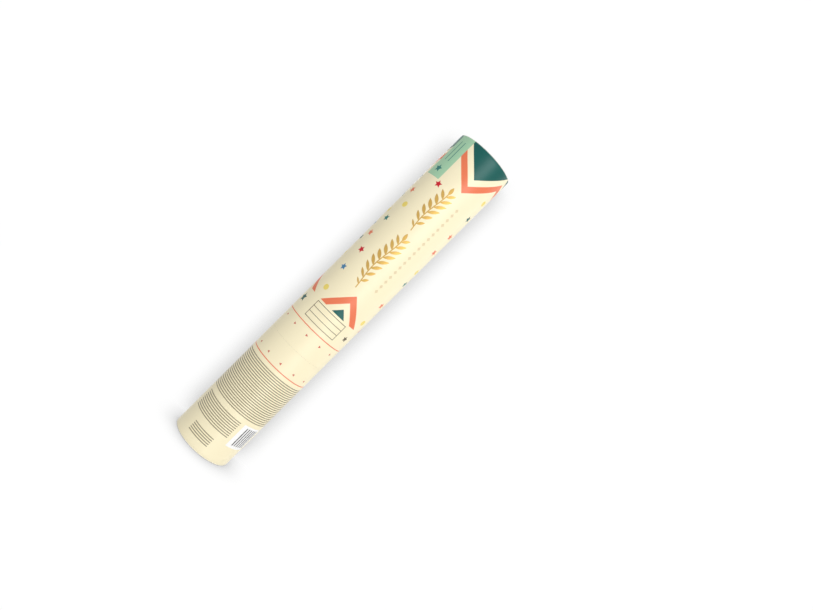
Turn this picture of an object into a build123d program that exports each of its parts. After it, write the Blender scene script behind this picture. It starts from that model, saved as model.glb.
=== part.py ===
from build123d import *

import math
import os

# Twist-action confetti popper, in millimetres. It stands on its foot: the origin is the middle of the
# foot and +Z runs along the tube to the muzzle. Twisting the grip against the barrel turns a cam sleeve
# that lifts the valve plug out of the air bottle, and the air drives cup and confetti out of the muzzle.

# Board tubes, wound to fit the bottle in its liner and the works in their ring, and printed paper wraps
overall_length = 280.0
grip_length = 95.0
board_wall = 2.0
seam_gap = 0.15
paste_line = 0.05
wrap_thickness = 0.2
wrap_setback = 0.3

# Clearances per side
glue_clearance = 0.1
running_clearance = 0.1
seat_gap = 0.2

# Coupling sleeve, an inner board tube that joins barrel and grip
sleeve_wall = 1.6
sleeve_in_grip = 25.0

# Foot plug
foot_recess = 1.0
foot_floor = 2.5
foot_skirt_wall = 1.6
foot_skirt_height = 12.0
foot_rib_count = 8
foot_rib_width = 1.4
foot_dish_diameter = 26.0
foot_dish_depth = 0.8

# Air bottle
bottle_diameter = 37.0
bottle_wall = 1.6
heel_radius = 5.0
foot_land = 3.0
punt_height = 5.0
shoulder_height = 8.0
neck_bore_diameter = 18.0
neck_wall = 3.0
neck_above_seam = 1.0
neck_ring_width = 2.0
neck_ring_height = 1.6

# Board liner that packs the bottle in the grip
liner_wall = 2.3
liner_gap = 0.5

# Fill valve in the bottle's pushed-in foot
valve_hole_diameter = 6.0
valve_head_width = 2.0
valve_seat_margin = 0.5
valve_head_height = 1.4
valve_tip_height = 4.0
valve_tip_width = 0.8

# Release plug and its seals
valve_lift = 8.0
vent_margin = 0.5
seal_section = 1.5
seal_squeeze_gap = 0.05
plug_tip_chamfer = 0.7
plug_stop_width = 0.8
plug_stop_height = 1.5
plug_head_diameter = 16.0
plug_head_land = 1.5

# Cross pin and the slots that it runs in
pin_diameter = 4.0
pin_end_gap = 0.2
pin_chamfer = 0.4
pin_fit = 0.03
slot_clearance = 0.2
slot_land = 2.0
twist_angle = 120.0

# Cam sleeve on the bottle's neck, with its retaining ring
cam_wall = 2.0
cam_grip_length = 14.0
cam_flange_height = 2.0
cam_top_land = 1.4
cam_bead = 0.4
cam_bead_height = 1.6
ring_thickness = 1.5
ring_width = 3.0
ring_groove_depth = 0.9
ring_split = 5.0

# Guide sleeve under the bulkhead
guide_wall = 2.2
bulkhead_thickness = 3.0
gusset_count = 6
gusset_width = 1.5
gusset_height = 10.0

# Pusher cup and the board ring that it stands on
wad_ring_gap = 0.8
wad_ring_wall = 3.9
cup_headroom = 2.0
cup_clearance = 0.2
cup_floor = 2.0
cup_skirt_wall = 1.0
cup_skirt_height = 10.0

# Paper cup that closes the muzzle
cap_recess = 1.0
cap_depth = 7.0
cap_floor = 0.8
cap_skirt_wall = 0.6

# Confetti stars, in bundles as they come from the die
star_diameter = 18.0
star_waist = 0.52
star_tip_width = 1.6
star_bundle_thickness = 4.0
star_gap = 0.3
star_wall_gap = 0.9
star_turn = 27.0
star_colours = ["red", "orange", "yellow", "green", "sky", "mint", "peach", "white"]

# Radii that follow from the sizes above, from the plug to the tube round it
neck_bore_radius = neck_bore_diameter / 2
neck_radius = neck_bore_radius + neck_wall
cam_inner_radius = neck_radius + glue_clearance
cam_radius = cam_inner_radius + cam_wall
guide_inner_radius = cam_radius + running_clearance
guide_radius = guide_inner_radius + guide_wall
ring_inner_radius = cam_radius - ring_groove_depth
ring_radius = ring_inner_radius + ring_width
wad_ring_inner_radius = ring_radius + wad_ring_gap
bottle_radius = bottle_diameter / 2
liner_radius = bottle_radius + glue_clearance
glued_radius = max(liner_radius + liner_wall, wad_ring_inner_radius + wad_ring_wall)
bore_radius = glued_radius + glue_clearance
board_radius = bore_radius + board_wall
wrap_inner_radius = board_radius + paste_line
sleeve_radius = bore_radius - running_clearance
sleeve_inner_radius = sleeve_radius - sleeve_wall
cup_radius = bore_radius - cup_clearance
pin_radius = pin_diameter / 2
slot_radius = pin_radius + slot_clearance

# Heights that follow, from the foot to the muzzle
foot_top = foot_recess + foot_floor
skirt_top = foot_recess + foot_skirt_height
sleeve_bottom = grip_length - sleeve_in_grip
neck_top = grip_length + neck_above_seam
cam_bottom = neck_top - cam_grip_length
cam_flange_top = cam_bottom + cam_flange_height
neck_ring_bottom = cam_bottom - neck_ring_height
seal_depth = valve_lift - vent_margin
plug_stop_bottom = neck_top + seat_gap
plug_stop_top = plug_stop_bottom + plug_stop_height
pin_height = plug_stop_top + plug_head_land + pin_radius
slot_top = pin_height + valve_lift + slot_radius
bulkhead_bottom = slot_top + slot_land
bulkhead_top = bulkhead_bottom + bulkhead_thickness
ring_bottom = bulkhead_top + seat_gap
ring_top = ring_bottom + ring_thickness
cam_top = ring_top + cam_top_land
cup_seat = cam_top + cup_headroom
cup_bottom = cup_seat + seat_gap
cup_top = cup_bottom + cup_skirt_height
cap_top = overall_length - cap_recess
cap_bottom = cap_top - cap_depth


def tube(outer_radius, inner_radius, bottom, top):
    """A plain ring or tube on the popper's axis."""
    section = Circle(outer_radius) - Circle(inner_radius)
    return extrude(Plane.XY.offset(bottom) * section, top - bottom)


def disc(radius, bottom, top):
    """A solid round block on the popper's axis."""
    return extrude(Plane.XY.offset(bottom) * Circle(radius), top - bottom)


def turned(*outline):
    """A piece turned about the axis from lines and arcs given as radius and height."""
    return revolve(Plane.XZ * make_face(Curve() + list(outline)), Axis.Z)


def across(height, radius, half_length):
    """A round bar along X through the axis, as wide as the pin or its slot."""
    return Plane((0, 0, height), z_dir=(1, 0, 0)) * Cylinder(radius, 2 * half_length)


# Barrel: board tube, printed wrap, coupling sleeve
def barrel_tube():
    return tube(board_radius, bore_radius, grip_length + seam_gap, overall_length)


def barrel_wrap():
    outer_radius = wrap_inner_radius + wrap_thickness
    return tube(outer_radius, wrap_inner_radius, grip_length + seam_gap, overall_length)


def coupling_sleeve():
    return tube(sleeve_radius, sleeve_inner_radius, sleeve_bottom, bulkhead_bottom)


# Bulkhead on the coupling sleeve, with the guide sleeve, its two straight slots and its gussets
def guide_sleeve():
    sleeve_end = cam_flange_top + seat_gap
    body = tube(guide_radius, guide_inner_radius, sleeve_end, bulkhead_top)
    body += tube(glued_radius, guide_inner_radius, bulkhead_bottom, bulkhead_top)
    gusset_reach = sleeve_inner_radius - glue_clearance - guide_inner_radius - guide_wall / 2
    gusset = Box(gusset_reach, gusset_width, gusset_height, align=(Align.MIN, Align.CENTER, Align.MAX))
    for place in PolarLocations(guide_inner_radius + guide_wall / 2, gusset_count, 180 / gusset_count):
        body += Pos(0, 0, bulkhead_bottom) * place * gusset
    slot_plane = Plane((0, 0, pin_height + valve_lift / 2), x_dir=(0, 0, 1), z_dir=(1, 0, 0))
    slot = extrude(slot_plane * SlotCenterToCenter(valve_lift, 2 * slot_radius), bore_radius, both=True)
    return body - slot


def wad_ring():
    return tube(glued_radius, wad_ring_inner_radius, bulkhead_top, cup_seat)


# Grip: board tube, printed wrap, liner round the bottle
def grip_tube():
    return tube(board_radius, bore_radius, 0, grip_length)


def grip_wrap():
    return tube(wrap_inner_radius + wrap_thickness, wrap_inner_radius, wrap_setback, grip_length)


def bottle_liner():
    return tube(glued_radius, liner_radius, skirt_top + seat_gap, sleeve_bottom - liner_gap)


# Plug in the foot: a dished floor, a skirt in the tube and ribs that centre the bottle
def base_plug():
    body = tube(glued_radius, glued_radius - foot_skirt_wall, foot_recess, skirt_top)
    body += disc(glued_radius, foot_recess, foot_top)
    rib_reach = glued_radius - foot_skirt_wall / 2 - liner_radius
    rib_height = skirt_top - foot_recess
    rib = Box(rib_reach, foot_rib_width, rib_height, align=(Align.MIN, Align.CENTER, Align.MIN))
    for place in PolarLocations(liner_radius, foot_rib_count):
        body += Pos(0, 0, foot_recess) * place * rib
    return body - disc(foot_dish_diameter / 2, foot_recess, foot_recess + foot_dish_depth)


# Air bottle: a blown bottle with a pushed-in foot, a round shoulder and a stout neck
foot_outer_radius = bottle_radius - heel_radius
foot_inner_radius = foot_outer_radius - foot_land
valve_hole_radius = valve_hole_diameter / 2
valve_head_radius = valve_hole_radius + valve_head_width
valve_seat_radius = valve_head_radius + valve_seat_margin
punt_top = foot_top + punt_height
shoulder_step = bottle_radius - neck_radius
shoulder_radius = (shoulder_step**2 + shoulder_height**2) / (2 * shoulder_step)
shoulder_bottom = neck_ring_bottom - shoulder_height


def bottle_outside():
    foot = Polyline(
        (0, punt_top),
        (valve_seat_radius, punt_top),
        (foot_inner_radius, foot_top),
        (foot_outer_radius, foot_top),
    )
    heel = RadiusArc(foot @ 1, (bottle_radius, foot_top + heel_radius), -heel_radius)
    wall = Line(heel @ 1, (bottle_radius, shoulder_bottom))
    shoulder = RadiusArc(wall @ 1, (neck_radius, neck_ring_bottom), -shoulder_radius)
    neck_ring_radius = neck_radius + neck_ring_width
    bead_bottom = (cam_bottom + neck_top - cam_bead_height) / 2
    bead_top = bead_bottom + cam_bead_height
    groove_radius = neck_radius - cam_bead
    neck = Polyline(
        shoulder @ 1,
        (neck_ring_radius, neck_ring_bottom),
        (neck_ring_radius, cam_bottom),
        (neck_radius, cam_bottom),
        (neck_radius, bead_bottom),
        (groove_radius, bead_bottom),
        (groove_radius, bead_top),
        (neck_radius, bead_top),
        (neck_radius, neck_top),
        (0, neck_top),
        foot @ 0,
    )
    return turned(foot, heel, wall, shoulder, neck)


def bottle_cavity():
    slope = math.atan2(punt_height, foot_inner_radius - valve_seat_radius)
    shift = bottle_wall * math.tan(slope / 2)
    inner_radius = bottle_radius - bottle_wall
    outline = Polyline(
        (0, punt_top + bottle_wall),
        (valve_seat_radius + shift, punt_top + bottle_wall),
        (foot_inner_radius + shift, foot_top + bottle_wall),
        (foot_outer_radius, foot_top + bottle_wall),
        (inner_radius, foot_top + heel_radius),
        (inner_radius, shoulder_bottom),
        (neck_bore_radius, neck_ring_bottom - bottle_wall),
        (neck_bore_radius, neck_top),
        (0, neck_top),
        close=True,
    )
    return turned(outline)


def air_bottle():
    valve_hole = disc(valve_hole_radius, foot_top, shoulder_bottom)
    return bottle_outside() - bottle_cavity() - valve_hole


# Rubber fill valve: a head under the bottle's foot, a stem through it and a pointed tip inside
def fill_valve():
    stem_radius = valve_hole_radius - running_clearance
    head_top = punt_top - running_clearance
    tip_bottom = punt_top + bottle_wall + running_clearance
    barb_radius = valve_hole_radius + valve_tip_width
    outline = Polyline(
        (0, head_top - valve_head_height),
        (valve_head_radius, head_top - valve_head_height),
        (valve_head_radius, head_top),
        (stem_radius, head_top),
        (stem_radius, tip_bottom),
        (barb_radius, tip_bottom),
        (barb_radius / 2, tip_bottom + valve_tip_height),
        (0, tip_bottom + valve_tip_height),
        close=True,
    )
    return turned(outline)


# Cam sleeve: pressed on the neck, with a flange below, two helical slots and a groove for the ring
def helical_slot():
    reach = 2 * cam_wall
    middle_radius = cam_inner_radius + cam_wall / 2
    slope = math.atan2(valve_lift, middle_radius * math.radians(twist_angle))
    path = Helix(valve_lift * 360 / twist_angle, valve_lift, middle_radius, (0, 0, pin_height))
    section = Plane.XZ * Pos(middle_radius, pin_height) * Rectangle(reach, 2 * slot_radius / math.cos(slope))
    cutter = sweep(section, path, is_frenet=True)
    for share in (0, 1):
        end = Plane((middle_radius, 0, pin_height), z_dir=(1, 0, 0)) * Cylinder(slot_radius, reach)
        cutter += Pos(0, 0, share * valve_lift) * Rot(0, 0, share * twist_angle) * end
    return cutter


def cam_sleeve():
    bead_middle = (cam_bottom + neck_top) / 2
    bead_radius = cam_inner_radius - cam_bead
    outline = Polyline(
        (cam_inner_radius, cam_bottom),
        (guide_radius, cam_bottom),
        (guide_radius, cam_flange_top),
        (cam_radius, cam_flange_top),
        (cam_radius, ring_bottom),
        (ring_inner_radius, ring_bottom),
        (ring_inner_radius, ring_top),
        (cam_radius, ring_top),
        (cam_radius, cam_top),
        (cam_inner_radius, cam_top),
        (cam_inner_radius, bead_middle + cam_bead_height / 2),
        (bead_radius, bead_middle),
        (cam_inner_radius, bead_middle - cam_bead_height / 2),
        close=True,
    )
    slot = helical_slot()
    return turned(outline) - slot - Rot(0, 0, 180) * slot


def retaining_ring():
    inner_radius = ring_inner_radius + running_clearance
    ring = tube(ring_radius, inner_radius, ring_bottom + pin_fit, ring_top - pin_fit)
    split = Box(ring_radius, ring_split, overall_length, align=(Align.CENTER, Align.CENTER, Align.MIN))
    return ring - Pos(0, ring_radius, 0) * Rot(0, 0, 90) * split


# Release plug in the bottle's neck, its two seals and the cross pin through its head
seal_land = (seal_depth - 2 * seal_section) / 3
seal_outer_radius = neck_bore_radius - seal_squeeze_gap
seal_groove_radius = seal_outer_radius - seal_section - seal_squeeze_gap
seal_heights = [neck_top - seal_depth + seal_land * n + seal_section * (n - 0.5) for n in (1, 2)]


def release_plug():
    stem_radius = neck_bore_radius - running_clearance
    stem_bottom = neck_top - seal_depth
    stop_radius = neck_bore_radius + plug_stop_width
    head_radius = plug_head_diameter / 2
    head_top = pin_height + pin_radius + plug_head_land
    outline = Polyline(
        (0, stem_bottom),
        (stem_radius - plug_tip_chamfer, stem_bottom),
        (stem_radius, stem_bottom + plug_tip_chamfer),
        (stem_radius, plug_stop_bottom),
        (stop_radius, plug_stop_bottom),
        (stop_radius, plug_stop_top),
        (head_radius, plug_stop_top),
        (head_radius, head_top - plug_tip_chamfer),
        (head_radius - plug_tip_chamfer, head_top),
        (0, head_top),
        close=True,
    )
    body = turned(outline) - across(pin_height, pin_radius + pin_fit, bore_radius)
    groove_half = seal_section / 2 + seal_squeeze_gap
    for height in seal_heights:
        body -= tube(neck_radius, seal_groove_radius, height - groove_half, height + groove_half)
    return body


def o_ring(height):
    """A rubber ring with its section pressed flat where it meets groove and bore."""
    half = seal_section / 2
    section = RegularPolygon(half, 8, major_radius=False, rotation=22.5)
    return revolve(Plane.XZ * Pos(seal_outer_radius - half, height) * section, Axis.Z)


def cross_pin():
    half_length = guide_radius - pin_end_gap
    pin = across(pin_height, pin_radius, half_length)
    return chamfer(pin.edges().filter_by(GeomType.CIRCLE), pin_chamfer)


# Charge: pusher cup open towards the bottle, confetti, paper cup in the muzzle
def pusher_cup():
    body = disc(cup_radius, cup_bottom, cup_top)
    return body - disc(cup_radius - cup_skirt_wall, cup_bottom, cup_top - cup_floor)


def muzzle_cap():
    body = disc(cup_radius, cap_bottom, cap_top)
    return body - disc(cup_radius - cap_skirt_wall, cap_bottom + cap_floor, cap_top)


def star_outline():
    """Plump five-pointed star with blunt tips, one tip towards +X."""
    radius = star_diameter / 2
    half_tip = math.degrees(star_tip_width / 2 / radius)
    corners = []
    for point in range(5):
        for angle, reach in ((-half_tip, radius), (half_tip, radius), (36, radius * star_waist)):
            turn = math.radians(72 * point + angle)
            corners.append((reach * math.cos(turn), reach * math.sin(turn)))
    return make_face(Polyline(*corners, close=True))


def confetti():
    """Layers of star bundles from the pusher cup to the muzzle cup, as a list for each colour."""
    ring_reach = bore_radius - star_wall_gap - star_diameter / 2
    spread = (star_diameter + star_gap) / 2
    per_layer = int(math.pi / math.asin(spread / ring_reach)) if spread < ring_reach else 1
    reach = ring_reach if per_layer > 1 else 0
    space = cap_bottom - cup_top - star_gap
    layers = int(space / (star_bundle_thickness + star_gap))
    bundle = extrude(star_outline(), star_bundle_thickness)
    bundles = {colour: [] for colour in star_colours}
    for layer in range(layers):
        height = cup_top + star_gap + layer * space / layers
        for place in range(per_layer):
            count = layer * per_layer + place
            around = Rot(0, 0, layer * star_turn + place * 360 / per_layer)
            star = Pos(0, 0, height) * around * Pos(reach, 0) * Rot(0, 0, count * star_turn) * bundle
            bundles[star_colours[count * 5 % len(star_colours)]].append(star)
    return bundles


pieces = {
    "barrel_tube": barrel_tube(),
    "barrel_wrap": barrel_wrap(),
    "coupling_sleeve": coupling_sleeve(),
    "guide_sleeve": guide_sleeve(),
    "wad_ring": wad_ring(),
    "grip_tube": grip_tube(),
    "grip_wrap": grip_wrap(),
    "base_plug": base_plug(),
    "bottle_liner": bottle_liner(),
    "air_bottle": air_bottle(),
    "fill_valve": fill_valve(),
    "cam_sleeve": cam_sleeve(),
    "retaining_ring": retaining_ring(),
    "release_plug": release_plug(),
    "o_ring_lower": o_ring(seal_heights[0]),
    "o_ring_upper": o_ring(seal_heights[1]),
    "cross_pin": cross_pin(),
    "pusher_cup": pusher_cup(),
    "muzzle_cap": muzzle_cap(),
}
for colour, stars in confetti().items():
    pieces["confetti_" + colour] = Compound(children=stars)

os.makedirs("parts", exist_ok=True)
for name, piece in pieces.items():
    export_step(piece, os.path.join("parts", name + ".step"))
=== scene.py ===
import math

import bpy
from mathutils import Matrix, Vector


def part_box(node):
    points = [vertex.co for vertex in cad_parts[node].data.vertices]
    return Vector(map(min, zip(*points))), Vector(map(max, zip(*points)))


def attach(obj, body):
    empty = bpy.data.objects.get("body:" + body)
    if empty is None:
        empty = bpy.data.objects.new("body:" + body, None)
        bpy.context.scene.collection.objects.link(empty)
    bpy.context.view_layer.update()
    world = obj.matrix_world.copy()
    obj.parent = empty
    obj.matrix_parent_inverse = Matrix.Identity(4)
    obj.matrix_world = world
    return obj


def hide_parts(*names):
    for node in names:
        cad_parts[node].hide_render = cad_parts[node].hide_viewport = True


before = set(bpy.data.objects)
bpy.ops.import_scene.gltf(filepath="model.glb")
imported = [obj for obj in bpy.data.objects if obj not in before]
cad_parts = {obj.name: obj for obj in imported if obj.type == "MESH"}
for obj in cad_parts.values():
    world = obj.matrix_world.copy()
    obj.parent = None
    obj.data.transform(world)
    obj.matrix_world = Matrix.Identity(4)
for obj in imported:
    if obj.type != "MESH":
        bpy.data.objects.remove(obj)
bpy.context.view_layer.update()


# Foot plug
# A plug of cream polypropylene that closes the foot of the grip and centres the air bottle in it.
# It is moulded in one shot, so its underside has a gate mark and ribs, and it is glued into the bore.
MM = 0.001


def sized(node):
    """A round CAD node's radius, bottom and top in millimetres."""
    low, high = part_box(node)
    return high.x / MM, low.z / MM, high.z / MM


def eased(outline, reach, closed):
    """An outline of (radius, height) with each corner rounded off by three points."""
    soft, count, most_of_arm = [], len(outline), 0.45
    for n, corner in enumerate(outline):
        if not closed and n in (0, count - 1):
            soft.append(corner)
            continue
        here = Vector(corner)
        arms = [Vector(outline[n - 1]) - here, Vector(outline[(n + 1) % count]) - here]
        a, b = (here + arm.normalized() * min(reach, most_of_arm * arm.length) for arm in arms)
        soft += [tuple(a), tuple((a + 2 * here + b) / 4), tuple(b)]
    return soft


def turned(outline, closed, wave=None, steps=192):
    """A mesh turned about the tube's axis. The outline runs anticlockwise, with the solid on its left."""
    points, faces, rings = [], [], []
    for radius, height in outline:
        if radius == 0:
            rings.append([len(points)] * steps)
            points.append((0, 0, height * MM))
            continue
        rings.append(range(len(points), len(points) + steps))
        for step in range(steps):
            turn = math.tau * step / steps
            reach = (radius + wave(turn, height) if wave else radius) * MM
            points.append((reach * math.sin(turn), -reach * math.cos(turn), height * MM))
    for low, high in zip(rings, rings[1:] + rings[:1] if closed else rings[1:]):
        for step in range(steps):
            after = (step + 1) % steps
            corners = [low[step], low[after], high[after], high[step]]
            faces.append(list(dict.fromkeys(corners)))
    mesh = bpy.data.meshes.new("turned")
    mesh.from_pydata(points, [], faces)
    return mesh


def shown(name, mesh, finish=None, crease=40):
    """Puts a mesh in the scene as a piece, smooth but for edges sharper than the crease in degrees."""
    mesh.shade_smooth()
    mesh.set_sharp_from_angle(angle=math.radians(crease))
    if finish:
        mesh.materials.clear()
        mesh.materials.append(finish)
    piece = bpy.data.objects.new(name, mesh)
    bpy.context.scene.collection.objects.link(piece)
    return piece


class Wire:
    """A socket in a node tree: arithmetic on it adds Math nodes, and node() adds any other."""

    def __init__(self, tree, socket):
        self.tree, self.socket = tree, socket

    def node(self, kind, settings, inputs, output=0):
        made = self.tree.nodes.new(kind)
        for name, value in settings.items():
            setattr(made, name, value)
        for key, value in inputs.items():
            for each in value if isinstance(value, list) else [value]:
                if isinstance(each, Wire):
                    self.tree.links.new(each.socket, made.inputs[key])
                else:
                    made.inputs[key].default_value = each
        return Wire(self.tree, made.outputs[output])

    def maths(self, operation, *values):
        return self.node("ShaderNodeMath", {"operation": operation}, dict(enumerate(values)))

    def __add__(self, other):
        return self.maths("ADD", self, other)

    def __sub__(self, other):
        return self.maths("SUBTRACT", self, other)

    def __rsub__(self, other):
        return self.maths("SUBTRACT", other, self)

    def __mul__(self, other):
        return self.maths("MULTIPLY", self, other)

    def __truediv__(self, other):
        return self.maths("DIVIDE", self, other)

    def __rtruediv__(self, other):
        return self.maths("DIVIDE", other, self)

    def __mod__(self, other):
        return self.maths("FLOORED_MODULO", self, other)

    def __pow__(self, other):
        return self.maths("POWER", self, other)

    def __abs__(self):
        return self.maths("ABSOLUTE", self)

    __radd__, __rmul__ = __add__, __mul__


def colour(red, green, blue):
    """A colour given as on a screen, 0 to 255, as the linear one that a shader takes."""
    screen = [channel / 255 for channel in (red, green, blue)]
    return tuple(((c + 0.055) / 1.055) ** 2.4 if c > 0.04045 else c / 12.92 for c in screen) + (1,)


def new_finish(name, **constants):
    """A material, its shader with the values that are the same all over, and the place on the piece."""
    finish = bpy.data.materials.new(name)
    finish.use_nodes = True
    tree = finish.node_tree
    shader = tree.nodes["Principled BSDF"]
    for socket, value in constants.items():
        shader.inputs[socket.replace("_", " ")].default_value = value
    return finish, shader, Wire(tree, tree.nodes.new("ShaderNodeTexCoord").outputs["Object"])


def feed(shader, **wires):
    """Links what varies over a surface to the shader's sockets."""
    for socket, wire in wires.items():
        wire.tree.links.new(wire.socket, shader.inputs[socket.replace("_", " ")])


def mixed(share, below, above):
    """One colour over another."""
    return share.node("ShaderNodeMix", {"data_type": "RGBA"}, {0: share, 6: below, 7: above}, 2)


def noise(place, size, detail=2.0, stretch=None):
    """Noise with grains of a size in millimetres, drawn out along an axis if asked."""
    if stretch:
        place = place.node("ShaderNodeVectorMath", {"operation": "MULTIPLY"}, {0: place, 1: stretch})
    inputs = {"Vector": place, "Scale": 1 / (size * MM), "Detail": detail, "Roughness": 0.6}
    return place.node("ShaderNodeTexNoise", {}, inputs)


def relief(height, depth, strength=1.0):
    """A bump of a depth in millimetres."""
    inputs = {"Strength": strength, "Distance": depth * MM, "Height": height}
    return height.node("ShaderNodeBump", {}, inputs)


def moulded(name, tone, shade, roughness):
    """Moulded plastic: faint flow bands, a fine eroded skin and slightly uneven gloss."""
    finish, shader, place = new_finish(name, Specular_IOR_Level=0.45)
    flow = noise(place, 9.0, detail=3.0, stretch=(1.0, 1.0, 0.35))
    skin = noise(place, 0.35)
    feed(
        shader,
        Base_Color=mixed(flow * 0.8 + skin * 0.2, tone, shade),
        Roughness=roughness - 0.06 + flow * 0.1 + skin * 0.06,
        Normal=relief(skin, depth=0.03, strength=0.5),
    )
    return finish


def ring_of_ribs():
    """Geometry Nodes tree: a turned piece, with a rib repeated round the axis."""
    tree = bpy.data.node_groups.new("ring_of_ribs", "GeometryNodeTree")
    face = tree.interface
    face.new_socket("Turned piece", in_out="INPUT", socket_type="NodeSocketGeometry")
    for name, kind in (("Rib", "Object"), ("Count", "Int"), ("Finish", "Material")):
        face.new_socket(name, in_out="INPUT", socket_type="NodeSocket" + kind)
    face.new_socket("Ribbed piece", in_out="OUTPUT", socket_type="NodeSocketGeometry")
    given = tree.nodes.new("NodeGroupInput").outputs
    piece, rib, count, finish = (Wire(tree, given[n]) for n in range(4))
    shape = piece.node("GeometryNodeObjectInfo", {}, {"Object": rib}, "Geometry")
    spots = piece.node("GeometryNodePoints", {}, {"Count": count})
    index = piece.node("GeometryNodeInputIndex", {}, {})
    turn = index.node("ShaderNodeCombineXYZ", {}, {"Z": index * math.tau / count})
    turn = turn.node("FunctionNodeEulerToRotation", {}, {0: turn})
    ribs = piece.node(
        "GeometryNodeInstanceOnPoints", {}, {"Points": spots, "Instance": shape, "Rotation": turn}
    )
    whole = piece.node("GeometryNodeJoinGeometry", {}, {0: [ribs, piece]})
    whole = piece.node("GeometryNodeRealizeInstances", {}, {0: whole})
    whole = piece.node("GeometryNodeSetMaterial", {}, {"Geometry": whole, "Material": finish})
    tree.links.new(whole.socket, tree.nodes.new("NodeGroupOutput").inputs[0])
    return tree


def grown(mesh, tree, **settings):
    """The plain mesh that a Geometry Nodes tree makes from a mesh."""
    source = bpy.data.objects.new("source", mesh)
    bpy.context.scene.collection.objects.link(source)
    modifier = source.modifiers.new("nodes", "NODES")
    modifier.node_group = tree
    for item in tree.interface.items_tree:
        key = item.name.replace(" ", "_")
        if key in settings:
            modifier[item.identifier] = settings[key]
    evaluated = source.evaluated_get(bpy.context.evaluated_depsgraph_get())
    plain = bpy.data.meshes.new_from_object(evaluated)
    bpy.data.objects.remove(source)
    return plain


def rib_block(inner, outer, half_width, bottom, top, draft):
    """A rib along +X with drafted sides, to be repeated round the axis."""
    points = []
    for height, narrow in ((bottom, 0), (top, draft)):
        for x, side in ((inner, -1), (outer, -1), (outer, 1), (inner, 1)):
            points.append((x * MM, side * (half_width - narrow) * MM, height * MM))
    faces = [(3, 2, 1, 0), (4, 5, 6, 7)]
    faces += [(n, (n + 1) % 4, (n + 1) % 4 + 4, n + 4) for n in range(4)]
    mesh = bpy.data.meshes.new("rib")
    mesh.from_pydata(points, [], faces)
    return bpy.data.objects.new("rib", mesh)


plug_radius, plug_bottom, plug_top = sized("base_plug")
skirt_wall, floor_thickness, plug_corner = 1.6, 2.5, 0.35
dish_radius, dish_depth, dish_draft = 13.0, 0.8, 0.5
gate_radius, gate_height, gate_flare, gate_step, gate_spread = 1.1, 0.45, 0.3, 0.05, 2.2
skirt_inner, floor_top = plug_radius - skirt_wall, plug_bottom + floor_thickness
dish_top = plug_bottom + dish_depth
plug_outline = [
    (0, dish_top - gate_height),
    (gate_radius, dish_top - gate_height),
    (gate_radius + gate_flare, dish_top - gate_step),
    (gate_spread, dish_top),
    (dish_radius - dish_draft, dish_top),
    (dish_radius, plug_bottom),
    (plug_radius, plug_bottom),
    (plug_radius, plug_top),
    (skirt_inner, plug_top),
    (skirt_inner, floor_top),
    (0, floor_top),
]
dish_rib = rib_block(
    inner=2.6,
    outer=dish_radius - 0.3,
    half_width=0.6,
    bottom=dish_top - 0.55,
    top=dish_top + 0.3,
    draft=-0.12,
)
skirt_rib = rib_block(
    inner=plug_radius - 2.3,
    outer=skirt_inner + 0.4,
    half_width=0.7,
    bottom=floor_top - 0.3,
    top=plug_top,
    draft=0.1,
)
ribs = ring_of_ribs()
foot_finish = moulded("foot_polypropylene", colour(243, 240, 230), colour(231, 226, 212), 0.46)
plug_mesh = turned(eased(plug_outline, plug_corner, closed=False), closed=False)
for rib_shape, rib_count in ((dish_rib, 6), (skirt_rib, 8)):
    plug_mesh = grown(plug_mesh, ribs, Rib=rib_shape, Count=rib_count, Finish=foot_finish)
foot_plug = shown("foot_plug", plug_mesh)
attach(foot_plug, "grip")
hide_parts("base_plug")


# Air bottle with its fill valve and liner
# The bottle is blown from pale grey polyester and stands in the foot plug; the valve is a rubber plug
# pushed in from below, and a short tube of wound board packs the bottle in the grip's bore.
ply_lead, ply_thickness, cut_end = 46.0, 0.42, 0.2


def dress(finish, *nodes):
    """Gives CAD nodes their finish."""
    for node in nodes:
        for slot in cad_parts[node].material_slots:
            slot.material = finish


def rubber(name):
    """Black rubber with a grey bloom and a dusting of chalk from the mould."""
    finish, shader, place = new_finish(name, Specular_IOR_Level=0.3)
    bloom, grit = noise(place, 2.2, detail=3.0), noise(place, 0.2)
    feed(
        shader,
        Base_Color=mixed(bloom * grit * 1.4, colour(30, 30, 31), colour(74, 74, 73)),
        Roughness=0.55 + bloom * 0.3,
        Normal=relief(grit, depth=0.03, strength=0.6),
    )
    return finish


def split(vector):
    """The three parts of a vector."""
    return [vector.node("ShaderNodeSeparateXYZ", {}, {0: vector}, axis) for axis in "XYZ"]


def both(a, b):
    """The smaller of two values, which is where two masks overlap."""
    return a.maths("MINIMUM", a, b)


def either(a, b):
    """The larger of two values, which is where one mask or the other is."""
    return a.maths("MAXIMUM", a, b)


def clamped(value, gain, lift):
    """A value times a gain plus a lift, held between 0 and 1."""
    settings = {"operation": "MULTIPLY_ADD", "use_clamp": True}
    return value.node("ShaderNodeMath", settings, {0: value, 1: gain, 2: lift})


def inside(distance, soft=0.06):
    """1 where a distance in millimetres is below zero, with a soft edge."""
    return clamped(distance, -0.5 / soft, 0.5)


def winding_line(height, turns, lead):
    """Distance along the tube from the spiral line where the windings of the board meet."""
    return abs((height / lead + turns) % 1.0 - 0.5) * lead


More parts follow.
